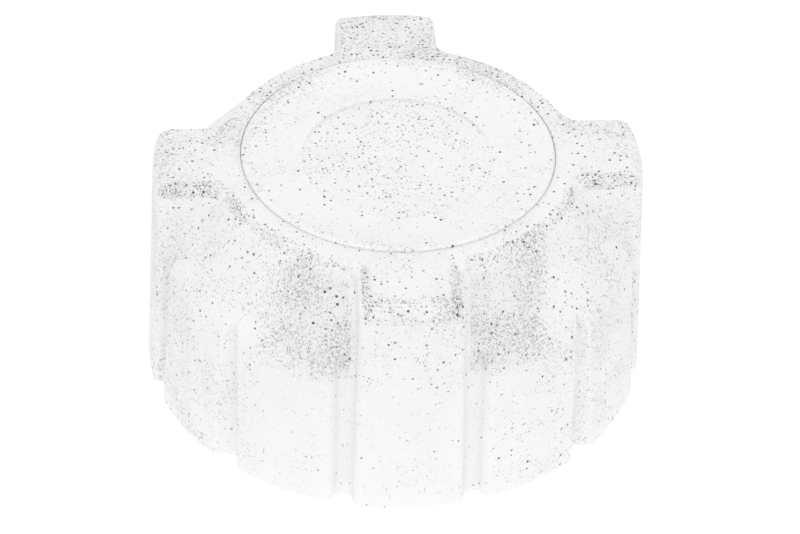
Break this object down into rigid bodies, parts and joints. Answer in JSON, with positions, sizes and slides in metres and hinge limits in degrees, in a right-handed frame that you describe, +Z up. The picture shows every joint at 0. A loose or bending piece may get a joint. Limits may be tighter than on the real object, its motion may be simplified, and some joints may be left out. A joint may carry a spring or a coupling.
{
  "type": "coolant tank cap",
  "caption": "Round screw cap for a coolant tank: tapered skirt with full-height grip lugs, dished crown disc, and a sprung pressure and vacuum valve insert inside.",
  "frame": {"origin": "centre of the skirt's bottom edge, on the cap's axis", "axes": "+Z up the cap's axis to the crown; the four grip lugs lie along X and Y, and the gate mark is on the lug at -Y"},
  "size_m": [0.068, 0.068, 0.0336],
  "materials": {
    "shell_plastic": "fine-grained moulded plastic, pale grey with dark specks",
    "disc_plastic": "fine-grained moulded plastic, pale grey with dark specks",
    "insert_plastic": "moulded glass-filled nylon, dark grey",
    "slip_plastic": "smooth natural acetal",
    "seal_rubber": "smooth black EPDM",
    "guard_plastic": "moulded nylon, mid grey",
    "valve_plastic": "moulded acetal, natural",
    "spring_steel": "drawn stainless wire",
    "washer_steel": "stamped stainless",
    "stem_brass": "turned brass"
  },
  "bodies": {
    "grip": {"grip_shell": "shell_plastic", "top_disc": "disc_plastic"},
    "insert": {"valve_housing": "insert_plastic", "slip_washer": "slip_plastic", "neck_o_ring": "seal_rubber", "neck_gasket": "seal_rubber", "bottom_guard": "guard_plastic", "seat_ring": "insert_plastic", "seat_o_ring": "seal_rubber", "main_spring": "spring_steel"},
    "pressure_valve": {"pressure_plate": "valve_plastic", "pressure_seal": "seal_rubber", "seal_washer": "washer_steel", "vacuum_spring": "spring_steel"},
    "vacuum_valve": {"vacuum_stem": "stem_brass", "vacuum_seal": "seal_rubber", "vacuum_clip": "washer_steel"}
  },
  "joints": [
    {"name": "insert_swivel", "type": "hinge", "parent": "grip", "child": "insert", "pos_m": [0, 0, 0.0254], "axis": [0, 0, 1], "continuous": true},
    {"name": "relief_lift", "type": "slide", "parent": "insert", "child": "pressure_valve", "axis": [0, 0, 1], "range_m": [0, 0.002], "stiffness_N_per_m": 9000, "springref_m": -0.0058, "deforming": ["main_spring"]},
    {"name": "vacuum_drop", "type": "slide", "parent": "pressure_valve", "child": "vacuum_valve", "axis": [0, 0, -1], "range_m": [0, 0.0015], "stiffness_N_per_m": 150, "springref_m": -0.002, "deforming": ["vacuum_spring"]}
  ]
}
